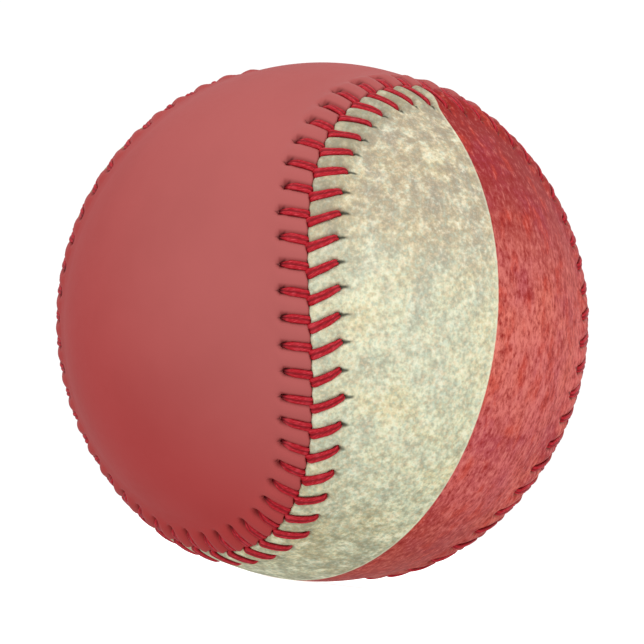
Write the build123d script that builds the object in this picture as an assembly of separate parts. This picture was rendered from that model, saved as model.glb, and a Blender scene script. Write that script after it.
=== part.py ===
from build123d import *

import bisect
import math
import os

# Pill: a cork ball in two black rubber half shells, with a red rubber washer between their rims
# and a red rubber coat over both
CORK_DIAMETER = 20.64
HALF_SHELL_WALL = 3.97
WASHER_THICKNESS = 1.0
RUBBER_COAT_WALL = 2.38

# Windings, from the pill outwards
FIRST_WOOL_DEPTH = 14.66
SECOND_WOOL_DEPTH = 1.77
THIRD_WOOL_DEPTH = 2.27
FINISHING_YARN_DEPTH = 0.51

# Leather cover: two equal figure-of-eight panels, each with a narrow neck and two round lobes
LEATHER_THICKNESS = 1.27
NECK_WIDTH = 32.0
LOBE_FULLNESS = 0.02

# Raised lip of each panel, measured sideways from the seam line
LIP_HEIGHT = 0.5
LIP_CROWN = 2.8
LIP_REACH = 6.5
EDGE_CHAMFER = 0.6

# Stitching: one thread sewn from its middle with two needles, so that every stitch has two legs
STITCHES_PER_QUARTER = 27
FIRST_STITCH = 0.61
HOLE_DISTANCE = 4.0
HOLE_CLEARANCE = 0.2
STITCH_LEAD = 1.15
LEG_SPACING = 0.25
THREAD_DIAMETER = 0.85
THREAD_CLEARANCE = 0.05
THREAD_BEND = 0.6
GENTLE_BEND = 12.0
TAIL_SHARE = 0.4

# Pocket under the lip, where the thread crosses from one hole to the next
POCKET_CLEARANCE = 0.1
POCKET_MARGIN = 0.4

# How finely the seam line is drawn: spline arcs, points on each, and steps of the length table
SEAM_ARCS = 12
ARC_POINTS = 5
LENGTH_STEPS = 1440

# Radii of the layers, each one seated on the layer below
cork_radius = CORK_DIAMETER / 2
half_shell_radius = cork_radius + HALF_SHELL_WALL
pill_radius = half_shell_radius + RUBBER_COAT_WALL
first_wool_radius = pill_radius + FIRST_WOOL_DEPTH
second_wool_radius = first_wool_radius + SECOND_WOOL_DEPTH
third_wool_radius = second_wool_radius + THIRD_WOOL_DEPTH
winding_radius = third_wool_radius + FINISHING_YARN_DEPTH
ball_radius = winding_radius + LEATHER_THICKNESS
lip_radius = ball_radius + LIP_HEIGHT

# The seam's section: a slot for the thread between the two edges, holes, and the pocket
thread_radius = THREAD_DIAMETER / 2
slot_half_width = thread_radius + THREAD_CLEARANCE
hole_radius = thread_radius + HOLE_CLEARANCE
pocket_half_width = HOLE_DISTANCE + hole_radius + POCKET_MARGIN
pocket_radius = winding_radius + THREAD_DIAMETER + 2 * POCKET_CLEARANCE
edge_chamfer = min(EDGE_CHAMFER, 0.75 * (lip_radius - pocket_radius))

# Where the thread's centre line runs, under and over the leather
under_radius = winding_radius + POCKET_CLEARANCE + thread_radius
over_radius = lip_radius + THREAD_CLEARANCE + thread_radius
bend_radius = min(THREAD_BEND, 0.45 * (over_radius - under_radius))
stitch_count = 4 * STITCHES_PER_QUARTER

# The seam line has its first, third and fifth harmonics set by the neck's width
neck_angle = NECK_WIDTH / (2 * ball_radius)
neck_rise = math.sin(neck_angle - math.asin(LOBE_FULLNESS * math.cos(neck_angle)))
seam_depth = math.sqrt(1 - neck_rise ** 2)


def seam_direction(t):
    """Unit direction of the seam line, once round for t from 0 to 2 pi."""
    first = (1 + neck_rise) / 2
    third = (1 - neck_rise) / 2
    x = first * math.sin(t) + third * math.sin(3 * t) + LOBE_FULLNESS * math.sin(5 * t)
    y = first * math.cos(t) - third * math.cos(3 * t) + LOBE_FULLNESS * math.cos(5 * t)
    z = seam_depth * math.cos(2 * t)
    return Vector(x, y, z).normalized()


def beside_seam(t, aside, radius):
    """Point at a radius, a distance aside of the seam, positive on the plain panel."""
    step = 1e-4
    outward = seam_direction(t)
    along = seam_direction(t + step) - seam_direction(t - step)
    across = along.cross(outward).normalized()
    angle = aside / ball_radius
    return (outward * math.cos(angle) + across * math.sin(angle)) * radius


def seam_lengths():
    """Length of the seam line on the ball, from t = 0 up to each step of t."""
    lengths = [0.0]
    last = seam_direction(0) * ball_radius
    for step in range(1, LENGTH_STEPS + 1):
        point = seam_direction(2 * math.pi * step / LENGTH_STEPS) * ball_radius
        lengths.append(lengths[-1] + (point - last).length)
        last = point
    return lengths


seam_table = seam_lengths()
seam_length = seam_table[-1]
pitch = seam_length / stitch_count


def at_stitch(count, aside, radius, lead=0.0):
    """Point beside the seam at a stitch, moved on by a lead along the seam line."""
    length = ((count + FIRST_STITCH) * pitch + lead) % seam_length
    step = min(bisect.bisect_right(seam_table, length), LENGTH_STEPS) - 1
    share = (length - seam_table[step]) / (seam_table[step + 1] - seam_table[step])
    return beside_seam(2 * math.pi * (step + share) / LENGTH_STEPS, aside, radius)


def seam_parallel(aside, radius):
    """Closed line that follows the seam, as smooth spline arcs end to end."""
    arcs = []
    step = 2 * math.pi / (SEAM_ARCS * ARC_POINTS)
    for arc in range(SEAM_ARCS):
        stations = [step * (arc * ARC_POINTS + point) for point in range(ARC_POINTS + 1)]
        points = [beside_seam(t, aside, radius) for t in stations]
        slopes = []
        for t in (stations[0], stations[-1]):
            ahead = beside_seam(t + step / 50, aside, radius)
            behind = beside_seam(t - step / 50, aside, radius)
            slopes.append((ahead - behind) / (step / 25))
        arcs.append(Edge.make_spline(points, tangents=slopes, parameters=stations, scale=False))
    return arcs


def seam_ring(profile):
    """Solid that carries a closed profile of (aside, radius) corners round the whole seam."""
    lines = [seam_parallel(aside, radius) for aside, radius in profile]
    faces = []
    for line, following in zip(lines, lines[1:] + lines[:1]):
        faces += [Face.make_surface_from_curves(one, two) for one, two in zip(line, following)]
    return Solid(Shell(Face.sew_faces(faces)[0]))


def ball(radius):
    return Solid.make_sphere(radius, angle1=-90, angle2=90, angle3=360)


def layer(inner_radius, outer_radius):
    return ball(outer_radius) - ball(inner_radius)


def cover_panel():
    """Plain panel: a cap of leather, its raised lip along the seam, and its stitch holes."""
    clear = LEATHER_THICKNESS
    slot = [
        (-pocket_half_width, winding_radius - clear),
        (-pocket_half_width, ball_radius + clear),
        (pocket_half_width, ball_radius + clear),
        (pocket_half_width, winding_radius - clear),
    ]
    caps = layer(winding_radius, ball_radius) - seam_ring(slot)
    cap = caps.solids().sort_by(Axis.Z)[-1]

    # The lip runs on past its foot, inside the cap, so that the two join
    slope = LIP_HEIGHT / (LIP_REACH - LIP_CROWN)
    root = max(LIP_REACH, pocket_half_width) + LEATHER_THICKNESS / 2
    lip = [
        (slot_half_width, pocket_radius),
        (0.5 * pocket_half_width, pocket_radius),
        (pocket_half_width - POCKET_MARGIN / 4, pocket_radius),
        (root, winding_radius + LEATHER_THICKNESS / 4),
        (root, lip_radius - slope * (root - LIP_CROWN)),
        (LIP_CROWN, lip_radius),
        (slot_half_width + edge_chamfer, lip_radius),
        (slot_half_width, lip_radius - edge_chamfer),
    ]
    panel = (cap + seam_ring(lip)).solids()[0]

    holes = []
    for count in range(stitch_count):
        bottom = at_stitch(count, HOLE_DISTANCE, winding_radius - clear)
        top = at_stitch(count, HOLE_DISTANCE, lip_radius + clear)
        axis = Plane(origin=bottom, z_dir=top - bottom)
        holes.append(Solid.make_cylinder(hole_radius, (top - bottom).length, axis))
    return panel.cut(*holes)


def stitch_leg(side, count):
    """Corners and bends of one leg: up its hole, over the lip, down the slot and under."""
    lead = STITCH_LEAD - side * (THREAD_DIAMETER + LEG_SPACING) / 2
    far = side * HOLE_DISTANCE
    return [
        (at_stitch(count, far, under_radius), bend_radius),
        (at_stitch(count, far, over_radius), bend_radius),
        (at_stitch(count, far / 2, over_radius, lead / 2), GENTLE_BEND),
        (at_stitch(count, 0, over_radius, lead), bend_radius),
        (at_stitch(count, 0, under_radius, lead), bend_radius),
        (at_stitch(count, -far / 2, under_radius, (lead + pitch) / 2), GENTLE_BEND),
    ]


def needle_route(first_side):
    """One needle's half of the thread, changing sides at every stitch, with a hidden tail."""
    route = []
    for count in range(stitch_count):
        route += stitch_leg(first_side * (-1) ** count, count)
    slot_bottom, tail = route[-2][0], route[-1][0]
    route[-1] = (slot_bottom + (tail - slot_bottom) * 2 * TAIL_SHARE, GENTLE_BEND)
    return route


def rounded_path(route):
    """Straight runs between the corners of a route, joined by tangent arcs of its bends."""
    points = [point for point, bend in route]
    edges = []
    last = points[0]
    for before, (corner, bend), after in zip(points, route[1:], points[2:]):
        arrive = (corner - before).normalized()
        leave = (after - corner).normalized()
        half_turn = math.radians(arrive.get_angle(leave)) / 2
        setback = bend * math.tan(half_turn)
        inside = (leave - arrive).normalized()
        middle = corner + inside * bend * (1 / math.cos(half_turn) - 1)
        start = corner - arrive * setback
        end = corner + leave * setback
        edges.append(Edge.make_line(last, start))
        edges.append(Edge.make_three_point_arc(start, middle, end))
        last = end
    edges.append(Edge.make_line(last, points[-1]))
    return Wire(edges)


def stitching():
    """The whole thread: from one tail back to its middle, then on to the other tail."""
    middle = (at_stitch(0, 0, under_radius), GENTLE_BEND)
    path = rounded_path(needle_route(-1)[::-1] + [middle] + needle_route(1))
    print(f"thread {path.length:.0f} mm long, {stitch_count} stitches, pitch {pitch:.2f} mm")
    section = Wire.make_circle(thread_radius, Plane(origin=path @ 0, z_dir=path % 0))
    return Solid.sweep(Face(section), path)


# The two half shells and the washer share one layer round the cork
half_shells = layer(cork_radius, half_shell_radius)
washer_slab = Solid.make_box(
    2 * half_shell_radius,
    2 * half_shell_radius,
    WASHER_THICKNESS,
    Plane(origin=(-half_shell_radius, -half_shell_radius, -WASHER_THICKNESS / 2)),
)
lower_half, upper_half = (half_shells - washer_slab).solids().sort_by(Axis.Z)

# The second panel is the first one turned a quarter about Z and reflected across Z = 0
plain_panel = cover_panel()
printed_panel = plain_panel.rotate(Axis.Z, -90).mirror(Plane.XY)

nodes = {
    "cork_core": ball(cork_radius),
    "lower_inner_rubber_shell": lower_half,
    "upper_inner_rubber_shell": upper_half,
    "rubber_washer": half_shells & washer_slab,
    "outer_rubber_shell": layer(half_shell_radius, pill_radius),
    "first_wool_winding": layer(pill_radius, first_wool_radius),
    "second_wool_winding": layer(first_wool_radius, second_wool_radius),
    "third_wool_winding": layer(second_wool_radius, third_wool_radius),
    "finishing_winding": layer(third_wool_radius, winding_radius),
    "plain_cover_panel": plain_panel,
    "printed_cover_panel": printed_panel,
    "stitching_thread": stitching(),
}

os.makedirs("parts", exist_ok=True)
for name, solid in nodes.items():
    export_step(solid, f"parts/{name}.step")
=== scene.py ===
import bisect
import math
import random

import bmesh
import bpy
from mathutils import Matrix, Quaternion, Vector


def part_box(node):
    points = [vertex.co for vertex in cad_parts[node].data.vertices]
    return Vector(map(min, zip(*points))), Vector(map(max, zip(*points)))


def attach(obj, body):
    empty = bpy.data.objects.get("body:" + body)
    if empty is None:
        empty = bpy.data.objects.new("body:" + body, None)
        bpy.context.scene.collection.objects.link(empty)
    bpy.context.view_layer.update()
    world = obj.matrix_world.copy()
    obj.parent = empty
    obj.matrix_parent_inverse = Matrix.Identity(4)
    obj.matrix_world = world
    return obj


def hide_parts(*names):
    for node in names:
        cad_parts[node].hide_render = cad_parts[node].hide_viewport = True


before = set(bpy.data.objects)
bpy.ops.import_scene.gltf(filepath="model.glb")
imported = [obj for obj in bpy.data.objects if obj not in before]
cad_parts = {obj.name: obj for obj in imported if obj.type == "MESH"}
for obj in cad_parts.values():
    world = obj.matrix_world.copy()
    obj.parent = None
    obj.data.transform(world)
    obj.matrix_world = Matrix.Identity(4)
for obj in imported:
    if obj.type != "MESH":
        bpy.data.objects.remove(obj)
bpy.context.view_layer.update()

mm = 0.001
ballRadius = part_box("plain_cover_panel")[1][0]  # bare leather, away from the seam
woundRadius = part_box("finishing_winding")[1][0]  # what the leather lies on
plain, printed = 1, -1  # the two panels, by the side of the seam that each lies on
print("frame loaded, ball radius", round(ballRadius / mm, 2), "mm")


# The seam line and its stitches, shared by the two panels and the thread

seam = {
    "neckWidth": 32.0,  # mm, across a panel's narrow middle
    "lobeFullness": 0.02,
    "tableSteps": 2880,  # places at which the seam's length is taken
    "tangentStep": 1e-4,  # radians to each side, to find which way the seam runs
    "stitches": 108,
    "firstStitch": 0.61,  # where the first pair of holes falls, in stitches
    "holeAside": 4.0,  # mm from the seam line to a hole
    "lead": {plain: 0.6, printed: 1.65},  # mm that a leg runs on along the seam before it dives
    "seed": {plain: 11, printed: 12},
    "wander": 0.16,  # mm, how far the sewer's hand strays along the seam
    "holeWander": 1.6,  # how many times that, for a hole's distance from the seam
    "diveWander": 0.7,  # and for the place where a leg dives
    "roll": 0.3,  # radians, the most that a leg is turned about its length
    "girth": (0.94, 1.06),  # the thinnest and the thickest leg
    "pull": (0.6, 1.4),  # how hard a leg is drawn down at its hole
}

neckAngle = seam["neckWidth"] * mm / (2 * ballRadius)
neckRise = math.sin(neckAngle - math.asin(seam["lobeFullness"] * math.cos(neckAngle)))


def seamDirection(turn):
    first, third, fifth = (1 + neckRise) / 2, (1 - neckRise) / 2, seam["lobeFullness"]
    x = first * math.sin(turn) + third * math.sin(3 * turn) + fifth * math.sin(5 * turn)
    y = first * math.cos(turn) - third * math.cos(3 * turn) + fifth * math.cos(5 * turn)
    z = math.sqrt(1 - neckRise ** 2) * math.cos(2 * turn)
    return Vector((x, y, z)).normalized()


def seamLengths():
    lengths = [0.0]
    last = seamDirection(0)
    for step in range(1, seam["tableSteps"] + 1):
        here = seamDirection(2 * math.pi * step / seam["tableSteps"])
        lengths.append(lengths[-1] + (here - last).length)
        last = here
    return lengths


lengthTable = seamLengths()
pitch = lengthTable[-1] * ballRadius / mm / seam["stitches"]  # mm from hole to hole


def seamTurn(stitch):  # how far round, in radians, a count of stitches from the start gets
    laps, part = divmod(stitch / seam["stitches"], 1.0)
    length = part * lengthTable[-1]
    step = min(bisect.bisect_right(lengthTable, length), seam["tableSteps"]) - 1
    share = (length - lengthTable[step]) / (lengthTable[step + 1] - lengthTable[step])
    return 2 * math.pi * (laps + (step + share) / seam["tableSteps"])


def seamFrame(stitch):  # outward, along the seam, and across it towards the plain panel
    turn = seamTurn(stitch)
    outward = seamDirection(turn)
    ahead = seamDirection(turn + seam["tangentStep"])
    behind = seamDirection(turn - seam["tangentStep"])
    along = (ahead - behind).normalized()
    return outward, along, along.cross(outward).normalized()


def besideSeam(seamPlace, aside, radius):  # aside in mm, plus on the plain panel
    outward, _, across = seamPlace
    angle = aside * mm / ballRadius
    return (outward * math.cos(angle) + across * math.sin(angle)) * radius


def sewLegs(side):
    chance = random.Random(seam["seed"][side])
    legs = []
    for _ in range(seam["stitches"]):
        stray = [chance.uniform(-1, 1) * seam["wander"] for _ in range(3)]
        legs.append({
            "hole": Vector((stray[0], seam["holeAside"] + seam["holeWander"] * stray[1])),
            "dive": Vector((seam["lead"][side] + seam["diveWander"] * stray[2], 0.0)),
            "roll": chance.uniform(-seam["roll"], seam["roll"]),
            "girth": chance.uniform(*seam["girth"]),
        })
    for leg in legs:
        leg["pull"] = chance.uniform(*seam["pull"])
    return legs


stitchLegs = {side: sewLegs(side) for side in (plain, printed)}
print("seam laid out,", seam["stitches"], "stitches,", round(pitch, 2), "mm apart")


# Leather panels

leather = {  # lengths in mm
    "columnsPerStitch": 16,
    "bandWidth": 8.0,  # closely meshed leather beside the seam
    "bandRings": 24,
    "bandGrading": 1.3,  # crowds the rings towards the edge
    "crownRings": 10,  # from the band to the middle line of the panel
    "underRings": (0.0, 1.5, 4.7, 5.6, 8.0),  # distances from the seam, on the flesh side
    "underCrown": (0.5, 1.0),  # shares of the way on to the middle line, there
    "spineShare": 0.71,  # how far the middle line reaches towards the lobe's tip
    "mapCrown": 10.0,  # what the maps give to the leather inside the band
    "mapFlesh": 20.0,  # and add on the flesh side, to keep the seam's marks off it
    "lipHeight": 0.68,  # how far the edge is lifted by the thread under it
    "lipCrown": 1.6,  # distance from the seam where the lip starts to fall, and where it ends
    "lipReach": 7.9,
    "edgeDrop": 0.3,  # how far the cut edge rolls down into the seam
    "edgeReach": 0.8,
    "edgeGap": 0.004,
    "notch": 0.2,  # how far the edge is drawn back where a leg dives
    "notchWidth": 0.6,
    "press": {plain: 0.5, printed: 0.36},  # how far a leg sinks into the leather
    "pressWidth": {plain: 0.76, printed: 0.78},
    "pillow": 0.1,  # how far the sewn strip stands up between the legs
    "puff": {plain: 0.22, printed: 0.18},  # how much more, midway between two legs
    "puffWidth": 1.25,
    "sewnEnd": (3.6, 5.4),  # distances from the seam between which the sewn strip fades out
    "pressGain": 0.2,  # how much more of each where the leather is gathered
    "puffGain": 0.9,
    "notchGain": 0.8,
    "gather": {plain: {"neck": 0.75, "lobe": 1.0}, printed: {"neck": -0.4, "lobe": 0.9}},
    "holeDepth": 0.8,
    "holeWidth": 0.45,
    "pocket": 0.95,  # room for the thread under the lip
    "pocketEnd": (4.7, 5.6),  # distances from the seam between which the pocket closes
    "weld": 0.02,  # points nearer than this are merged
}


def clamped(value):
    return min(max(value, 0.0), 1.0)


def easeStep(low, high, value):
    share = clamped((value - low) / (high - low))
    return share * share * (3 - 2 * share)


def bell(distance, width):
    return math.exp(-((distance / width) ** 2))


def lipHeight(aside):
    return leather["lipHeight"] * (1 - easeStep(leather["lipCrown"], leather["lipReach"], aside))


def gathered(side, stitch, gain):  # leather puckers where the seam turns, not where it is straight
    bend = -side * math.cos(4 * math.pi * stitch / seam["stitches"])
    return 1 + gain * leather["gather"][side]["lobe" if bend > 0 else "neck"] * bend ** 2


def pressDepth(side, stitch):
    return leather["press"][side] * gathered(side, stitch, leather["pressGain"])


def nearLegs(side, stitch):  # legs close to a place on the seam, with its distance along
    nearest = round(stitch - seam["firstStitch"])
    for count in (nearest - 1, nearest, nearest + 1):
        offset = (stitch - seam["firstStitch"] - count) * pitch
        yield stitchLegs[side][count % seam["stitches"]], offset


def leatherHeight(side, stitch, aside):  # mm above the bare ball
    height = lipHeight(aside)
    if aside > leather["lipReach"]:
        return height
    nearest, hole = pitch, 0.0
    for leg, offset in nearLegs(side, stitch):
        fromHole = Vector((offset, aside)) - leg["hole"]
        run = leg["dive"] - leg["hole"]
        share = clamped(fromHole.dot(run) / run.length_squared)
        nearest = min(nearest, (fromHole - run * share).length)
        hole = max(hole, bell(fromHole.length, leather["holeWidth"]))
    sewn = 1 - easeStep(*leather["sewnEnd"], aside)
    press = pressDepth(side, stitch) * bell(nearest, leather["pressWidth"][side])
    puff = leather["puff"][side] * gathered(side, stitch, leather["puffGain"])
    puff *= 1 - bell(nearest, leather["puffWidth"])
    height += (leather["pillow"] + puff - press) * sewn - leather["holeDepth"] * hole
    roll = max(1 - aside / leather["edgeReach"], 0.0)
    return height - leather["edgeDrop"] * (1 - math.sqrt(1 - roll ** 2))


def edgeNotch(side, stitch):  # mm that an edge gives way to the diving legs of both panels
    notch = 0.0
    for sewnSide in (plain, printed):
        for leg, offset in nearLegs(sewnSide, stitch):
            notch = max(notch, bell(offset - leg["dive"].x, leather["notchWidth"]))
    return leather["edgeGap"] + leather["notch"] * gathered(side, stitch, leather["notchGain"]) * notch


def panelRings():  # (mm from the seam, share of the way to the middle line, flesh side)
    width, band, crown = leather["bandWidth"], leather["bandRings"], leather["crownRings"]
    rings = [(width, 1 - step / crown, False) for step in range(crown)]
    rings += [(width * (1 - step / band) ** leather["bandGrading"], 0.0, False) for step in range(band + 1)]
    rings += [(aside, 0.0, True) for aside in leather["underRings"]]
    rings += [(width, share, True) for share in leather["underCrown"]]
    return rings


def gridSheet(columns, rows):  # a flat grid, and the column and row of each of its points
    bm = bmesh.new()
    bmesh.ops.create_grid(bm, x_segments=columns, y_segments=rows, size=1.0)
    grid = {}
    for vert in bm.verts:
        grid[vert] = (round((vert.co.x + 1) / 2 * columns), round((vert.co.y + 1) / 2 * rows))
    return bm, grid


def finishPiece(bm, name):
    mesh = bpy.data.meshes.new(name)
    for face in bm.faces:
        face.smooth = True
    bm.to_mesh(mesh)
    bm.free()
    piece = bpy.data.objects.new(name, mesh)
    bpy.context.scene.collection.objects.link(piece)
    print(name, "made,", sum(len(face.vertices) - 2 for face in mesh.polygons), "triangles")
    return piece


def mapPanel(bm, grid, rings, stitches, side):
    stitchMap = bm.loops.layers.uv.new("stitchMap")  # mm from the nearest hole
    seamMap = bm.loops.layers.uv.new("seamMap")  # stitches along, mm from the seam
    for face in bm.faces:
        middle = sum(stitches[grid[vert][0]] for vert in face.verts) / len(face.verts)
        count = round(middle - seam["firstStitch"])
        hole = stitchLegs[side][count % seam["stitches"]]["hole"]
        for loop in face.loops:
            column, row = grid[loop.vert]
            aside, share, under = rings[row]
            along = (stitches[column] - seam["firstStitch"] - count) * pitch
            apart = aside + leather["mapCrown"] * share + (leather["mapFlesh"] if under else 0.0)
            loop[stitchMap].uv = (along - hole.x, apart - hole.y)
            loop[seamMap].uv = (stitches[column], apart)


def makePanel(name, side):
    quarter = 0 if side == plain else seam["stitches"] // 4  # the second panel is the first one turned
    rings = panelRings()
    columns = seam["stitches"] * leather["columnsPerStitch"]
    bm, grid = gridSheet(columns, len(rings) - 1)
    steps = [column / leather["columnsPerStitch"] for column in range(columns + 1)]
    stitches = [step + quarter for step in steps]
    mapPanel(bm, grid, rings, stitches, side)
    places = [seamFrame(step) for step in steps]
    notches = [edgeNotch(side, stitch) for stitch in stitches]
    for vert in bm.verts:
        column, row = grid[vert]
        aside, share, under = rings[row]
        if under:
            radius = woundRadius + leather["pocket"] * mm * (1 - easeStep(*leather["pocketEnd"], aside))
        else:
            radius = ballRadius + mm * leatherHeight(side, stitches[column], aside)
        gap = notches[column] * math.exp(-aside / leather["notchWidth"])
        place = besideSeam(places[column], aside + gap, radius)
        if share > 0:  # towards the middle line, which runs round the ball in the plane y = 0
            outward = places[column][0]
            angle = math.atan2(outward.x, outward.z) * leather["spineShare"]
            spine = Vector((math.sin(angle), 0.0, math.cos(angle)))
            place = place.normalized().slerp(spine, share) * radius
        vert.co = place if side == plain else Vector((place.y, -place.x, -place.z))
    bmesh.ops.remove_doubles(bm, verts=bm.verts, dist=leather["weld"] * mm)
    bmesh.ops.recalc_face_normals(bm, faces=bm.faces)
    return finishPiece(bm, name)


plainPanel = makePanel("plainPanel", plain)
printedPanel = makePanel("printedPanel", printed)


# Waxed thread, one length sewn from its middle with two needles

thread = {  # lengths in mm
    "width": 1.34,  # two plies side by side
    "height": 0.72,
    "sides": 16,
    "plyDent": 0.42,  # share of the height lost between the plies
    "plyDentWidth": 0.28,  # share of half the width
    "bend": 0.55,  # the radius at which a leg turns down
    "bendRings": 5,
    "runRings": 7,
    "sink": 1.35,  # how far a leg's ends go down
    "bedding": 0.04,  # how far a leg lies into the leather that it has pressed
    "bow": {plain: 0.03, printed: -0.14},  # how far a leg arches along the seam
    "holeWidth": {plain: 0.5, printed: 0.7},  # width at the hole, against the middle
    "seamWidth": {plain: 0.95, printed: 1.16},  # width at the seam, against the middle
    "holeTaper": (0.0, 0.4),  # shares of a leg, from its hole, over which the width changes
    "seamTaper": (0.6, 1.0),
    "slope": {plain: 0.42, printed: 0.06},  # how far a leg sinks towards its hole
    "slopeShare": (0.0, 0.45),  # shares of a leg, from its hole, that sink
    "slopeGain": 0.8,  # how much more where the leather is gathered
    "weld": 0.001,  # points nearer than this are merged
}


def legSteps(run):  # (share of a leg from its hole, mm down) up, across and down again
    bend, sink = thread["bend"], thread["sink"]
    bendShare = bend / run
    rise = [(0.0, sink), (0.0, 0.5 * (sink + bend))]
    for step in range(thread["bendRings"] + 1):
        angle = math.pi / 2 * step / thread["bendRings"]
        rise.append((bendShare * (1 - math.cos(angle)), bend * (1 - math.sin(angle))))
    inner = 1 - 2 * bendShare
    across = [(bendShare + inner * step / thread["runRings"], 0.0) for step in range(1, thread["runRings"])]
    return rise + across + [(1 - share, drop) for share, drop in reversed(rise)]


def legHeight(leg, side, stitch, aside, share):  # mm from the bare ball to the middle of the thread
    height = lipHeight(aside) + leather["pillow"] - pressDepth(side, stitch)
    height += thread["height"] / 2 - thread["bedding"]
    slope = thread["slope"][side] * gathered(side, stitch, thread["slopeGain"])
    return height - slope * leg["pull"] * (1 - easeStep(*thread["slopeShare"], share))


def legWidth(leg, side, share):
    holeWidth, seamWidth = thread["holeWidth"][side], thread["seamWidth"][side]
    width = holeWidth + (1 - holeWidth) * easeStep(*thread["holeTaper"], share)
    width *= 1 + (seamWidth - 1) * easeStep(*thread["seamTaper"], share)
    return width * leg["girth"]


def legRings(leg, count, side):
    outward, along, across = seamFrame(seam["firstStitch"] + count)
    flatRun = along * (leg["dive"].x - leg["hole"].x) - across * side * leg["hole"].y
    rings = []
    for share, drop in legSteps((leg["dive"] - leg["hole"]).length):
        flat = leg["hole"].lerp(leg["dive"], share)
        arch = math.sin(math.pi * share)
        stitch = seam["firstStitch"] + count + (flat.x - thread["bow"][side] * arch) / pitch
        radius = ballRadius + mm * (legHeight(leg, side, stitch, flat.y, share) - drop)
        rings.append({
            "centre": besideSeam(seamFrame(stitch), side * flat.y, radius),
            "breadth": outward.cross(flatRun).normalized(),
            "width": legWidth(leg, side, share),
            "roll": leg["roll"] * arch,
            "spot": (share, side),
        })
    return rings


def needleRings(firstSide):
    rings = []
    for count in range(seam["stitches"]):
        side = firstSide * (-1) ** count
        rings += legRings(stitchLegs[side][count], count, side)
    return rings


def threadSection():  # (across, up) of the two plies, once round
    section = []
    for side in range(thread["sides"]):
        angle = 2 * math.pi * side / thread["sides"]
        across = math.cos(angle)
        dent = 1 - thread["plyDent"] * bell(across, thread["plyDentWidth"])
        section.append((across * thread["width"] / 2, math.sin(angle) * dent * thread["height"] / 2))
    return section


def ringFrame(path, step):  # centre, breadth, up and width of the thread at one ring
    ring = path[step]
    ahead = path[min(step + 1, len(path) - 1)]["centre"]
    behind = path[max(step - 1, 0)]["centre"]
    tangent = (ahead - behind).normalized()
    breadth = (ring["breadth"] - tangent * ring["breadth"].dot(tangent)).normalized()
    breadth.rotate(Quaternion(tangent, ring["roll"]))
    return ring["centre"], breadth, tangent.cross(breadth), ring["width"]


def makeThread(name):
    startHalf, endHalf = needleRings(printed)[::-1], needleRings(plain)
    for ring in startHalf:
        ring["breadth"].negate()  # this half is sewn the other way round
    path = startHalf + endHalf
    travelled = [0.0]
    for one, two in zip(path, path[1:]):
        travelled.append(travelled[-1] + (two["centre"] - one["centre"]).length / mm)
    sides = thread["sides"]
    bm, grid = gridSheet(len(path) - 1, sides)
    threadMap = bm.loops.layers.uv.new("threadMap")  # mm along, share of the way round
    legMap = bm.loops.layers.uv.new("legMap")  # share of a leg from its hole, side of the seam
    for face in bm.faces:
        for loop in face.loops:
            ring, turn = grid[loop.vert]
            loop[threadMap].uv = (travelled[ring], turn / sides)
            loop[legMap].uv = path[ring]["spot"]
    frames = [ringFrame(path, step) for step in range(len(path))]
    section = threadSection()
    for vert in bm.verts:
        ring, turn = grid[vert]
        centre, breadth, up, width = frames[ring]
        across, rise = section[turn % sides]
        vert.co = centre + (breadth * across * width + up * rise) * mm
    bmesh.ops.remove_doubles(bm, verts=bm.verts, dist=thread["weld"] * mm)
    bmesh.ops.holes_fill(bm, edges=[edge for edge in bm.edges if edge.is_boundary], sides=0)
    bmesh.ops.recalc_face_normals(bm, faces=bm.faces)
    print("thread is", round(travelled[-1]), "mm long")
    return finishPiece(bm, name)


seamThread = makeThread("seamThread")


# Shader maths: one socket, with the operators that the finishes use

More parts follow.
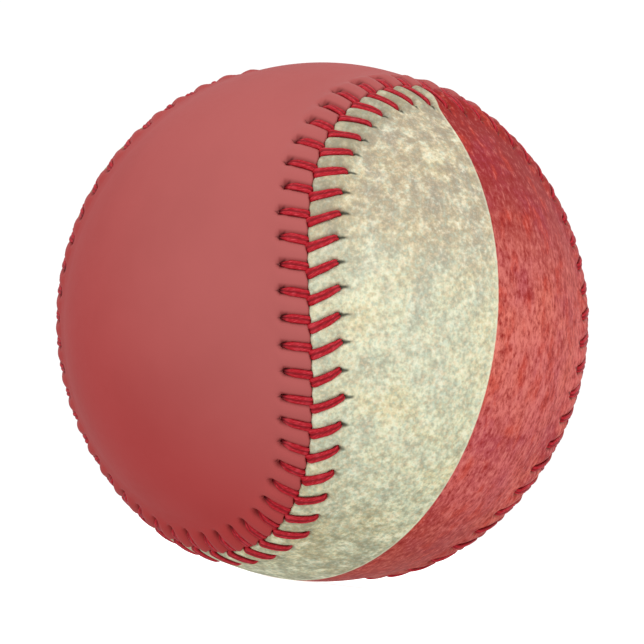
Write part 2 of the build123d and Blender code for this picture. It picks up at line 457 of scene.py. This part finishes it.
class Strand:
    def __init__(self, tree, socket=None):  # without a socket it is a pen, which only makes nodes
        self.tree, self.socket = tree, socket

    def make(self, kind, settings=None, sockets=None, output=0):
        node = self.tree.nodes.new(kind)
        for name, value in (settings or {}).items():
            setattr(node, name, value)
        for name, value in (sockets or {}).items():
            if isinstance(value, Strand):
                self.tree.links.new(value.socket, node.inputs[name])
            else:
                node.inputs[name].default_value = value
        return Strand(self.tree, node.outputs[output])

    def maths(self, operation, first, second=0.0):
        return self.make("ShaderNodeMath", {"operation": operation}, {0: first, 1: second})

    def __add__(self, other):
        return self.maths("ADD", self, other)

    def __radd__(self, other):
        return self.maths("ADD", other, self)

    def __sub__(self, other):
        return self.maths("SUBTRACT", self, other)

    def __rsub__(self, other):
        return self.maths("SUBTRACT", other, self)

    def __mul__(self, other):
        return self.maths("MULTIPLY", self, other)

    def __rmul__(self, other):
        return self.maths("MULTIPLY", other, self)

    def __abs__(self):
        return self.maths("ABSOLUTE", self)

    def ease(self, none, full):  # 0 at none and 1 at full, whichever of them is higher
        return self.make(
            "ShaderNodeMapRange",
            {"interpolation_type": "SMOOTHSTEP"},
            {"Value": self, "From Min": none, "From Max": full},
        )

    def swing(self, amount):  # a noise made to go up and down about zero
        return amount * (self - 0.5)

    def blend(self, first, second):  # this strand is the share of the second colour
        return self.make(
            "ShaderNodeMix", {"data_type": "RGBA"}, {0: self, 6: first, 7: second}, output=2
        )

    def split(self):  # a vector's x, y and z
        node = self.make("ShaderNodeSeparateXYZ", {}, {"Vector": self}).socket.node
        return [Strand(self.tree, socket) for socket in node.outputs]

    def facing(self, aim):  # how far a place lies the way of aim
        return self.make(
            "ShaderNodeVectorMath", {"operation": "DOT_PRODUCT"}, {0: self, 1: aim}, output="Value"
        )

    def moved(self, scale=(1.0, 1.0, 1.0), rotation=(0.0, 0.0, 0.0)):  # turned in radians
        return self.make(
            "ShaderNodeMapping", {}, {"Vector": self, "Scale": scale, "Rotation": rotation}
        )

    def noise(self, scale, detail=4.0, roughness=0.55):
        return self.make(
            "ShaderNodeTexNoise",
            {},
            {"Vector": self, "Scale": scale, "Detail": detail, "Roughness": roughness},
        )


def colour(red, green, blue):  # screen values from 0 to 255
    def straight(value):
        value /= 255
        return value / 12.92 if value <= 0.04045 else ((value + 0.055) / 1.055) ** 2.4
    return (straight(red), straight(green), straight(blue), 1.0)


def newFinish(name, fixed):
    material = bpy.data.materials.new(name)
    material.use_nodes = True
    shader = material.node_tree.nodes["Principled BSDF"]
    for socket, value in fixed.items():
        shader.inputs[socket].default_value = value
    return material, shader, Strand(material.node_tree)


def dress(material, shader, base, roughness, height, strength, depth=0.0002):  # depth in metres
    bump = height.make("ShaderNodeBump", {}, {"Strength": strength, "Distance": depth, "Height": height})
    for strand, socket in ((base, "Base Color"), (roughness, "Roughness"), (bump, "Normal")):
        material.node_tree.links.new(strand.socket, shader.inputs[socket])
    return material


# Marks are shares from 0 to 1 over a surface. A coat lays its colour on one of them, which "range" can
# sharpen, and "shift" and "more" add so much of other marks to the mark and to the coat's share.

def noiseMarks(place, noises):
    return {name: place.noise(**noise) for name, noise in noises.items()}


def withMarks(amount, gains, marks):
    for name, gain in gains.items():
        amount = amount + gain * marks[name]
    return amount


def layCoats(base, coats, marks, colours):
    for coat in coats:
        mark = withMarks(marks[coat["on"]], coat.get("shift", {}), marks)
        if "range" in coat:
            mark = mark.ease(*coat["range"])
        share = withMarks(coat["share"], coat.get("more", {}), marks)
        base = (mark * share).blend(base, colours[coat["colour"]])
    return base


# What the two panels have in common: grain, painted sheen, and painted shade along the seam and in its
# holes

panelGrainSheenAndShade = {
    "pores": {"scale": 2600.0, "detail": 2.0},
    "poreShare": 0.5,  # of the creases' height
    "creases": {"scale": 700.0, "detail": 6.0, "roughness": 0.65},
    "sheenSide": (0.58, 0.71, 0.4),  # painted sheen: the side that faces the key light and the camera is paler
    "sheenRange": (0.1, 0.95),
    "sheenShare": 0.08,
    "sheenPale": colour(245, 240, 232),
    "channelShift": 0.1,  # mm along the seam
    "channelWidth": (1.0, 0.45),  # mm from a leg's line, unshaded to fully shaded
    "channelHoleEnd": (0.4, 0.0),  # mm out from the hole, unshaded to fully shaded
    "channelSeamEnd": (-4.4, -3.6),
    "holeUp": (-0.027, -0.012),  # metres up, from the palest holes to the darkest
}


def panelGrain(place):  # creases, and the height of creases and pores together
    creases = place.noise(**panelGrainSheenAndShade["creases"])
    return creases, place.noise(**panelGrainSheenAndShade["pores"]) * panelGrainSheenAndShade["poreShare"] + creases


# Painted sheen: leather that faces the key light and the camera is laid paler
def paintedSheen(place, base, amount=1.0):
    aim = Vector(panelGrainSheenAndShade["sheenSide"]) / ballRadius
    sheen = place.facing(aim).ease(*panelGrainSheenAndShade["sheenRange"])
    return (sheen * (amount * panelGrainSheenAndShade["sheenShare"])).blend(base, panelGrainSheenAndShade["sheenPale"])


def seamCoordinates(pen):  # mm along and out from the nearest hole, and mm from the seam
    along, fromHole, _ = pen.make("ShaderNodeUVMap", {"uv_map": "stitchMap"}).split()
    aside = pen.make("ShaderNodeUVMap", {"uv_map": "seamMap"}).split()[1]
    return along, fromHole, aside


def legChannelShade(along, fromHole, side):  # painted shade in the channel that a leg lies in
    beside = abs(along + fromHole * (seam["lead"][side] / seam["holeAside"]) + panelGrainSheenAndShade["channelShift"])
    ends = fromHole.ease(*panelGrainSheenAndShade["channelHoleEnd"]) * fromHole.ease(*panelGrainSheenAndShade["channelSeamEnd"])
    return beside.ease(*panelGrainSheenAndShade["channelWidth"]) * ends


def holeShade(hole, along, fromHole, upward):  # a dark wedge that narrows away from the seam
    wedge = (hole["width"] - hole["taper"] * fromHole - abs(along)).ease(*hole["blur"])
    darkness = hole["lowShare"] + (1 - hole["lowShare"]) * upward.ease(*panelGrainSheenAndShade["holeUp"])
    return wedge * fromHole.ease(*hole["start"]) * darkness


plainLeather = {
    "colours": {
        "light": colour(176, 62, 61),
        "dark": colour(171, 57, 56),
        "smudge": colour(184, 72, 70),
        "hole": colour(62, 13, 14),
        "edge": colour(112, 20, 22),
    },
    "noises": {  # scales per metre
        "cloud": {"scale": 55.0, "detail": 3.0},
        "smudges": {"scale": 140.0, "detail": 5.0},
    },
    "coats": (
        {"colour": "dark", "on": "cloud", "range": (0.35, 0.7), "share": 1.0},
        {"colour": "smudge", "on": "smudges", "range": (0.55, 0.75), "share": 0.1},
    ),
    # painted shade in the legs' channels and the holes, and a darker edge beside the seam
    "shadeAndEdges": (
        {"colour": "edge", "on": "channelShade", "share": 0.45},
        {"colour": "hole", "on": "hole", "share": 0.9},
        {"colour": "edge", "on": "edge", "share": 0.2},
    ),
    "hole": {  # mm
        "width": 0.45,
        "taper": 0.5,
        "blur": (-0.05, 0.4),
        "start": (-1.0, -0.4),
        "lowShare": 0.6,  # how dark the holes low on the ball are
    },
    "edgeWidth": 0.3,  # mm of darker edge beside the seam
    "specular": 0.1,
    "roughness": 0.55,
    "roughnessSwing": 0.12,
    "bump": 0.08,
}


def plainLeatherFinish(look):
    material, shader, pen = newFinish("plainLeather", {"Specular IOR Level": look["specular"]})
    place = pen.make("ShaderNodeTexCoord", output="Object")
    along, fromHole, aside = seamCoordinates(pen)
    colours = look["colours"]
    marks = noiseMarks(place, look["noises"])
    marks["channelShade"] = legChannelShade(along, fromHole, plain)
    marks["hole"] = holeShade(look["hole"], along, fromHole, place.split()[2])
    marks["edge"] = aside.ease(look["edgeWidth"], 0.0)
    base = paintedSheen(place, layCoats(colours["light"], look["coats"], marks, colours))
    base = layCoats(base, look["shadeAndEdges"], marks, colours)
    creases, height = panelGrain(place)
    roughness = look["roughness"] + creases.swing(look["roughnessSwing"])
    return dress(material, shader, base, roughness, height, look["bump"])


plainPanel.data.materials.append(plainLeatherFinish(plainLeather))


printedLeather = {
    "colours": {
        "cream": colour(245, 248, 205),
        "tan": colour(198, 172, 124),
        "olive": colour(176, 186, 158),
        "straw": colour(228, 212, 148),
        "ash": colour(140, 138, 112),
        "slate": colour(160, 152, 142),
        "sand": colour(234, 204, 146),
        "pale": colour(254, 252, 222),
        "mint": colour(188, 210, 186),
        "blush": colour(232, 204, 160),
        "umber": colour(142, 116, 82),
        "crimson": colour(221, 107, 103),
        "scarlet": colour(235, 117, 96),
        "plum": colour(172, 56, 76),
        "rose": colour(230, 132, 122),
        "ember": colour(202, 62, 42),
        "wine": colour(150, 26, 24),
        "creamSlit": colour(40, 46, 36),
        "redSlit": colour(96, 14, 18),
        "edge": colour(132, 86, 68),
    },
    "noises": {  # scales per metre
        "cloud": {"scale": 42.0, "detail": 4.0, "roughness": 0.6},
        "patch": {"scale": 120.0, "detail": 5.0, "roughness": 0.6},
        "blotch": {"scale": 430.0, "detail": 5.0, "roughness": 0.65},
        "fibre": {"scale": 1400.0, "detail": 3.0, "roughness": 0.6},
        "speckle": {"scale": 1900.0, "detail": 2.0, "roughness": 0.6},
    },
    "brushedNoises": {
        "streak": {"scale": 850.0, "detail": 5.0, "roughness": 0.7},
        "tint": {"scale": 210.0, "detail": 3.0, "roughness": 0.6},
    },
    "brushed": (1.9, 1.0, 1.0),  # draws those two out along the line between cream and red
    "aged": (0.0, 0.028),  # metres up, from fresh to aged
    "low": (-0.018, -0.034),  # metres up, from unshaded to painted shade below, where the light falls off
    "lowShadeBlotches": (0.36, 0.6),  # range of the blotches that break up that painted shade
    "creamCoats": (
        {"colour": "tan", "on": "cloud", "shift": {"aged": 0.5}, "range": (0.45, 0.95), "share": 1.0},
        {"colour": "olive", "on": "patch", "range": (0.42, 0.72), "share": 0.75, "more": {"aged": -0.35}},
        {"colour": "straw", "on": "patch", "range": (0.55, 0.3), "share": 0.75},
        {"colour": "slate", "on": "tint", "range": (0.45, 0.72), "share": 0.3, "more": {"aged": 0.5}},
        {"colour": "sand", "on": "tint", "range": (0.54, 0.28), "share": 0.2, "more": {"aged": 0.6}},
        {"colour": "ash", "on": "blotch", "shift": {"aged": 0.04}, "range": (0.4, 0.78), "share": 0.72},
        {"colour": "pale", "on": "blotch", "range": (0.52, 0.25), "share": 0.6},
        {"colour": "ash", "on": "fibre", "range": (0.4, 0.74), "share": 0.7},
        {"colour": "pale", "on": "fibre", "range": (0.52, 0.25), "share": 0.7},
        {"colour": "mint", "on": "speckle", "range": (0.5, 0.7), "share": 0.55},
        {"colour": "blush", "on": "speckle", "range": (0.5, 0.3), "share": 0.5},
        {"colour": "umber", "on": "blotch", "range": (0.38, 0.66), "share": 0.0, "more": {"aged": 0.6}},
        # painted shade: ash low on the ball, where the light falls off, broken up by blotches
        {"colour": "ash", "on": "low", "share": 0.04, "more": {"lowShadeBlotches": 0.4}},
    ),
    "creamSheen": 2.0,  # how much painted sheen, against the red
    "redGround": (
        {"colour": "scarlet", "on": "cloud", "shift": {"aged": -0.25}, "range": (0.36, 0.62), "share": 1.0},
    ),
    "redCoats": (
        {"colour": "wine", "on": "aged", "share": 0.95},
        {"colour": "plum", "on": "patch", "range": (0.45, 0.66), "share": 0.66, "more": {"aged": -0.02}},
        # painted shade: wine low on the ball, where the light falls off, and fewer rose streaks there
        {"colour": "wine", "on": "low", "share": 0.65},
        {"colour": "ember", "on": "tint", "range": (0.52, 0.3), "share": 0.7, "more": {"aged": 0.1}},
        {"colour": "wine", "on": "blotch", "range": (0.45, 0.75), "share": 0.5},
        {"colour": "rose", "on": "streak", "range": (0.5, 0.25), "share": 0.9,
         "more": {"aged": -0.3, "low": -0.3}},
        {"colour": "wine", "on": "streak", "range": (0.42, 0.72), "share": 0.95},
    ),
    "border": 0.00075,  # metres from the panel's middle plane to the line between red and cream
    "borderBlur": 0.0001,
    "borderFray": 0.0002,
    "overprint": 0.0006,  # metres of paler cream along that line
    "overprintShare": 0.35,
    # painted shade in the legs' channels, on the cream beside the seam and in the slits, and a darker edge
    # beside the seam
    "shadeAndEdges": (
        {"colour": "edge", "on": "channelShade", "share": 0.4},
        {"colour": "ash", "on": "seamShade", "share": 0.2, "more": {"patch": 0.5}},
        {"colour": "slit", "on": "slit", "share": 0.88},
        {"colour": "edge", "on": "edge", "share": 0.2},
    ),
    "seamShadeReach": (6.5, 3.0),  # mm from the seam, unshaded to painted shade on the cream tongues
    "seamShadeBelow": 0.3,  # share of that painted shade low on the ball, where the print isn't aged
    "slit": {  # mm
        "width": 0.52,
        "taper": 0.14,
        "blur": (-0.05, 0.36),
        "start": (-0.6, -0.2),
        "end": (1.9, 1.0),
        "stray": 0.5,
        "endStray": 2.0,
        "lowShare": 0.2,  # how dark the slits low on the ball are
    },
    "edgeWidth": 0.25,  # mm of darker edge beside the seam
    "specular": 0.1,
    "roughness": 0.55,
    "roughnessSwing": 0.15,
    "bump": 0.08,
}


def printedLeatherFinish(look):
    material, shader, pen = newFinish("printedLeather", {"Specular IOR Level": look["specular"]})
    place = pen.make("ShaderNodeTexCoord", output="Object")
    across, _, upward = place.split()
    along, fromHole, aside = seamCoordinates(pen)
    colours = dict(look["colours"])
    marks = noiseMarks(place, look["noises"])
    marks.update(noiseMarks(place.moved(look["brushed"]), look["brushedNoises"]))
    marks["aged"] = upward.ease(*look["aged"])
    marks["low"] = upward.ease(*look["low"])
    marks["lowShadeBlotches"] = marks["blotch"].ease(*look["lowShadeBlotches"])

    cream = layCoats(colours["cream"], look["creamCoats"], marks, colours)
    overprint = across.ease(look["border"] + look["overprint"], look["border"])
    cream = (overprint * look["overprintShare"]).blend(
        paintedSheen(place, cream, look["creamSheen"]), colours["pale"]
    )
    red = paintedSheen(place, layCoats(colours["crimson"], look["redGround"], marks, colours))
    red = layCoats(red, look["redCoats"], marks, colours)
    border = (across + marks["fibre"].swing(look["borderFray"])).ease(
        look["border"] - look["borderBlur"], look["border"] + look["borderBlur"]
    )
    base = border.blend(red, cream)

    slit = look["slit"]
    ragged = along + marks["blotch"].swing(slit["stray"])
    slitEnd = (fromHole + marks["patch"].swing(slit["endStray"])).ease(*slit["end"])
    seamShade = look["seamShadeBelow"] + (1 - look["seamShadeBelow"]) * marks["aged"]
    marks["channelShade"] = legChannelShade(along, fromHole, printed)
    # painted shade on the cream tongues beside the seam, stronger higher on the ball
    marks["seamShade"] = aside.ease(*look["seamShadeReach"]) * seamShade * border
    marks["slit"] = holeShade(slit, ragged, fromHole, upward) * slitEnd
    marks["edge"] = aside.ease(look["edgeWidth"], 0.0)
    colours["slit"] = border.blend(colours["redSlit"], colours["creamSlit"])
    base = layCoats(base, look["shadeAndEdges"], marks, colours)
    _, height = panelGrain(place)
    roughness = look["roughness"] + marks["blotch"].swing(look["roughnessSwing"])
    return dress(material, shader, base, roughness, height, look["bump"])


printedPanel.data.materials.append(printedLeatherFinish(printedLeather))


waxedThread = {
    "colours": {
        "deep": colour(166, 12, 28),
        "bright": colour(202, 30, 46),
        "light": colour(230, 92, 102),
        "groove": colour(108, 5, 16),
        "shadow": colour(44, 3, 8),
    },
    "twist": {"scale": (1.0, 3.2, 1.0), "rotation": (0.0, 0.0, 0.22)},
    "drawnOut": (0.9, 5.0, 1.0),  # how the fibres run along the twist
    "strands": {"scale": 1.7, "detail": 4.0, "roughness": 0.6},  # scales per mm
    "worn": {"scale": 0.6, "detail": 2.0},
    "top": 0.25,  # share of the way round where the groove between the plies lies
    "groove": (0.07, 0.01),  # shares of the way round from there, where the groove starts and is full
    "grooveStray": 0.1,
    "shadedFlanks": (0.14, 0.26),
    "inHole": (0.22, 0.02),  # shares of a leg from its hole, lit to shaded
    "plainSide": (-0.1, 0.1),  # only the plain panel's holes shade the thread
    "coats": (
        {"colour": "bright", "on": "strands", "range": (0.35, 0.68), "share": 1.0},
        {"colour": "light", "on": "worn", "range": (0.5, 0.75), "share": 0.3},
        {"colour": "light", "on": "strands", "range": (0.5, 0.72), "share": 0.6},
        # painted shade in the groove between the plies and on the thread's flanks
        {"colour": "groove", "on": "groove", "share": 0.65},
        {"colour": "groove", "on": "shadedFlanks", "share": 0.7},
        {"colour": "shadow", "on": "inHole", "share": 0.85},
    ),
    "specular": 0.16,
    "roughness": 0.48,
    "roughnessSwing": 0.2,
    "bump": 0.5,
    "bumpDepth": 0.00008,  # metres
}


def waxedThreadFinish(look):
    material, shader, pen = newFinish("waxedThread", {"Specular IOR Level": look["specular"]})
    place = pen.make("ShaderNodeUVMap", {"uv_map": "threadMap"})
    share, side, _ = pen.make("ShaderNodeUVMap", {"uv_map": "legMap"}).split()
    strands = place.moved(**look["twist"]).moved(look["drawnOut"]).noise(**look["strands"])
    worn = place.noise(**look["worn"])
    fromTop = place.split()[1] - look["top"]
    marks = {
        "strands": strands,
        "worn": worn,
        # painted shade: the groove between the plies, and the flanks away from the top
        "groove": abs(fromTop + worn.swing(look["grooveStray"])).ease(*look["groove"]),
        "shadedFlanks": abs(fromTop).ease(*look["shadedFlanks"]),
        "inHole": share.ease(*look["inHole"]) * side.ease(*look["plainSide"]),
    }
    base = layCoats(look["colours"]["deep"], look["coats"], marks, look["colours"])
    roughness = look["roughness"] + strands.swing(look["roughnessSwing"])
    return dress(material, shader, base, roughness, strands, look["bump"], look["bumpDepth"])


seamThread.data.materials.append(waxedThreadFinish(waxedThread))
print("leather and thread finished")

for piece, node, slot in (
    (plainPanel, "plain_cover_panel", "plain_leather"),
    (printedPanel, "printed_cover_panel", "printed_leather"),
    (seamThread, "stitching_thread", "waxed_thread"),
):
    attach(piece, "root")
    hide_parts(node)


# Inner layers keep their CAD solids and get finishes of their own

layerColours = {  # dark and light
    "cork": (colour(96, 60, 34), colour(196, 148, 98)),
    "blackRubber": (colour(18, 18, 18), colour(44, 43, 42)),
    "redRubber": (colour(120, 24, 22), colour(160, 44, 36)),
    "greyWool": (colour(84, 84, 88), colour(168, 166, 164)),
    "whiteWool": (colour(186, 180, 164), colour(236, 232, 220)),
    "cottonYarn": (colour(206, 200, 186), colour(244, 240, 230)),
}
innerLayers = {  # grain per metre, and how far it is drawn out into fibres
    "cork_core": {"colours": "cork", "grain": 420.0, "fibre": 1.0},
    "upper_inner_rubber_shell": {"colours": "blackRubber", "grain": 900.0, "fibre": 1.0},
    "lower_inner_rubber_shell": {"colours": "blackRubber", "grain": 900.0, "fibre": 1.0},
    "rubber_washer": {"colours": "redRubber", "grain": 900.0, "fibre": 1.0},
    "outer_rubber_shell": {"colours": "redRubber", "grain": 700.0, "fibre": 1.0},
    "first_wool_winding": {"colours": "greyWool", "grain": 500.0, "fibre": 9.0},
    "second_wool_winding": {"colours": "whiteWool", "grain": 600.0, "fibre": 9.0},
    "third_wool_winding": {"colours": "greyWool", "grain": 600.0, "fibre": 9.0},
    "finishing_winding": {"colours": "cottonYarn", "grain": 900.0, "fibre": 12.0},
}
layerLook = {
    "turn": (0.6, 0.3, 0.9),  # radians, so that the fibres follow no axis
    "detail": 5.0,
    "noiseRoughness": 0.6,
    "range": (0.35, 0.68),  # of the grain, from dark to light
    "specular": 0.25,
    "roughness": 0.7,
    "roughnessGain": 0.2,
    "bump": 0.4,
}


def layerFinish(name, layer, look):
    material, shader, pen = newFinish(name, {"Specular IOR Level": look["specular"]})
    place = pen.make("ShaderNodeTexCoord", output="Object")
    turned = place.moved((1.0, 1.0, layer["fibre"]), look["turn"])
    grain = turned.noise(layer["grain"], look["detail"], look["noiseRoughness"])
    base = grain.ease(*look["range"]).blend(*layerColours[layer["colours"]])
    roughness = look["roughness"] + look["roughnessGain"] * grain
    return dress(material, shader, base, roughness, grain, look["bump"])


for node, layer in innerLayers.items():
    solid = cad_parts[node]
    solid.data.materials.clear()
    solid.data.materials.append(layerFinish(node.title().replace("_", ""), layer, layerLook))
print("inner layers finished")


# Studio: white floor, soft light, and the photograph's camera

studio = {
    "floorSize": 3.0,
    "floorColour": (0.8, 0.8, 0.8, 1.0),
    "floorGlow": 0.85,
    "lightColour": (1.0, 1.0, 1.0, 1.0),
    "backdrop": 1.05,  # how bright the sky is to the camera
    "fill": 0.9,  # light from all round
    "fillSlope": 0.25,  # how much more of it comes from above and in front
    "fillFrom": (0.0, 0.73, 0.68),  # right, up and towards the camera
    "keyEnergy": 0.5,  # watts
    "keySize": 0.6,
    "keyPlace": (0.3, 0.5, 0.8),  # metres right, up and towards the camera
}
view = {
    "azimuth": 137.85,  # degrees
    "elevation": -1.42,
    "roll": -6.6,
    "distance": 30.0,  # ball radii
    "lens": 435.3,
    "sensor": 36.0,
    "clip": (0.01, 50.0),  # metres
}


def cameraAxes():
    azimuth, elevation, roll = (math.radians(view[key]) for key in ("azimuth", "elevation", "roll"))
    back = Vector((
        math.sin(azimuth) * math.cos(elevation),
        -math.cos(azimuth) * math.cos(elevation),
        math.sin(elevation),
    ))
    right = Vector((0, 0, 1)).cross(back).normalized()
    up = back.cross(right)
    rolledRight = right * math.cos(roll) - up * math.sin(roll)
    rolledUp = right * math.sin(roll) + up * math.cos(roll)
    return rolledRight, rolledUp, back


def fromCamera(amounts):  # a place given as right, up and towards the camera
    return sum((axis * amount for axis, amount in zip(cameraAxes(), amounts)), Vector())


def makeFloor():
    bm = bmesh.new()
    bmesh.ops.create_grid(bm, x_segments=1, y_segments=1, size=studio["floorSize"])
    bmesh.ops.translate(bm, verts=bm.verts, vec=(0, 0, -ballRadius))
    floor = finishPiece(bm, "studioFloor")
    material, _, _ = newFinish("studioFloor", {
        "Base Color": studio["floorColour"],
        "Roughness": 1.0,
        "Specular IOR Level": 0.0,
        "Emission Color": studio["lightColour"],
        "Emission Strength": studio["floorGlow"],
    })
    floor.data.materials.append(material)
    floor.visible_diffuse = False  # the floor shows, and throws no light up at the ball
    floor.visible_glossy = False


def makeSky():
    world = bpy.data.worlds.new("studioSky")
    world.use_nodes = True
    tree = world.node_tree
    pen = Strand(tree)
    place = pen.make("ShaderNodeTexCoord", output="Generated")
    slope = place.facing(fromCamera(studio["fillFrom"]).normalized())
    seen = pen.make("ShaderNodeLightPath", output="Is Camera Ray")
    strength = seen * studio["backdrop"] + (1 - seen) * (studio["fill"] + studio["fillSlope"] * slope)
    tree.links.new(strength.socket, tree.nodes["Background"].inputs["Strength"])
    tree.nodes["Background"].inputs["Color"].default_value = studio["lightColour"]
    bpy.context.scene.world = world


def makeKeyLight():
    lamp = bpy.data.lights.new("keyLight", "AREA")
    lamp.energy, lamp.size = studio["keyEnergy"], studio["keySize"]
    key = bpy.data.objects.new("keyLight", lamp)
    bpy.context.scene.collection.objects.link(key)
    key.location = fromCamera(studio["keyPlace"])
    key.rotation_euler = key.location.to_track_quat("Z", "Y").to_euler()


def makeCamera():
    right, up, back = cameraAxes()
    lens = bpy.data.cameras.new("photoCamera")
    lens.lens = view["lens"]
    lens.sensor_width = view["sensor"]
    lens.clip_start, lens.clip_end = view["clip"]
    camera = bpy.data.objects.new("photoCamera", lens)
    bpy.context.scene.collection.objects.link(camera)
    place = Matrix((right, up, back)).transposed().to_4x4()
    place.translation = back * ballRadius * view["distance"]
    camera.matrix_world = place
    bpy.context.scene.camera = camera


makeFloor()
makeSky()
makeKeyLight()
makeCamera()
bpy.context.scene.view_settings.view_transform = "Standard"
print("studio ready")
